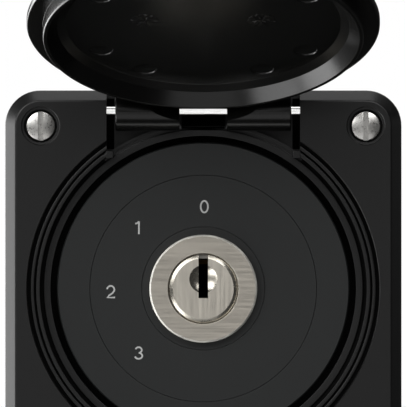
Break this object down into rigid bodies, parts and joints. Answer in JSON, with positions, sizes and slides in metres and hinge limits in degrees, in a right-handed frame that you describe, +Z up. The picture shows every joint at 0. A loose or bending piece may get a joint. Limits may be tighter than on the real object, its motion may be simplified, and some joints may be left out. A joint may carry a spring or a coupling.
{
  "type": "selector key switch",
  "caption": "Square black flange plate with a hinged round lid over a recessed numbered dial and a key-operated lock that turns a rotary selector switch behind the panel.",
  "frame": {"origin": "centre of the square flange on the panel surface, which is the back face of the gasket", "axes": "+X to the viewer's right, +Y into the panel (the front looks along -Y), +Z up towards the hinge"},
  "size_m": [0.075, 0.124, 0.1038],
  "materials": {
    "plate_black": "fine textured moulding",
    "lid_black": "fine textured moulding",
    "dial_black": "satin moulding",
    "seal_rubber": "matt",
    "screw_nickel": "nickel-plated, turned",
    "pin_steel": "ground",
    "lock_nickel": "nickel, fine horizontal brushing",
    "plug_nickel": "nickel, brushed",
    "brass": "plain",
    "zinc_steel": "zinc-plated",
    "spring_steel": "plain",
    "carrier_black": "glass-filled moulding",
    "case_grey": "thermoset moulding",
    "rotor_white": "acetal"
  },
  "bodies": {
    "base": {"front_plate": "plate_black", "panel_gasket": "seal_rubber", "corner_screws": "screw_nickel", "screw_seals": "seal_rubber", "hinge_pin": "pin_steel", "pin_plug": "plate_black", "dial_ring": "dial_black", "dial_seal": "seal_rubber", "dial_disc": "dial_black", "insert_carrier": "carrier_black", "carrier_screws": "zinc_steel", "lock_body": "lock_nickel", "lock_seal": "seal_rubber", "lock_washer": "zinc_steel", "lock_nut": "brass", "index_housing": "carrier_black", "index_spring": "spring_steel", "switch_case": "case_grey", "contact_base": "case_grey", "contact_studs": "brass", "common_contact": "brass", "terminal_clamps": "zinc_steel", "terminal_screws": "zinc_steel", "rear_cover": "case_grey", "tie_screws": "zinc_steel"},
    "selector": {"lock_plug": "plug_nickel", "lock_wafers": "brass", "wafer_springs": "spring_steel", "drive_coupling": "rotor_white", "drive_pins": "zinc_steel", "switch_shaft": "zinc_steel", "shaft_clip": "spring_steel", "index_wheel": "rotor_white", "contact_rotor": "rotor_white", "wiper_bridge": "brass", "wiper_rivets": "brass"},
    "lid": {"lid_shell": "lid_black"}
  },
  "joints": [
    {"name": "lid_hinge", "type": "hinge", "parent": "base", "child": "lid", "pos_m": [0, -0.0085, 0.0336], "axis": [1, 0, 0], "range_deg": [0, 115]},
    {"name": "key_turn", "type": "hinge", "parent": "base", "child": "selector", "pos_m": [0, 0, 0], "axis": [0, -1, 0], "range_deg": [0, 135], "deforming": ["index_spring"]}
  ]
}
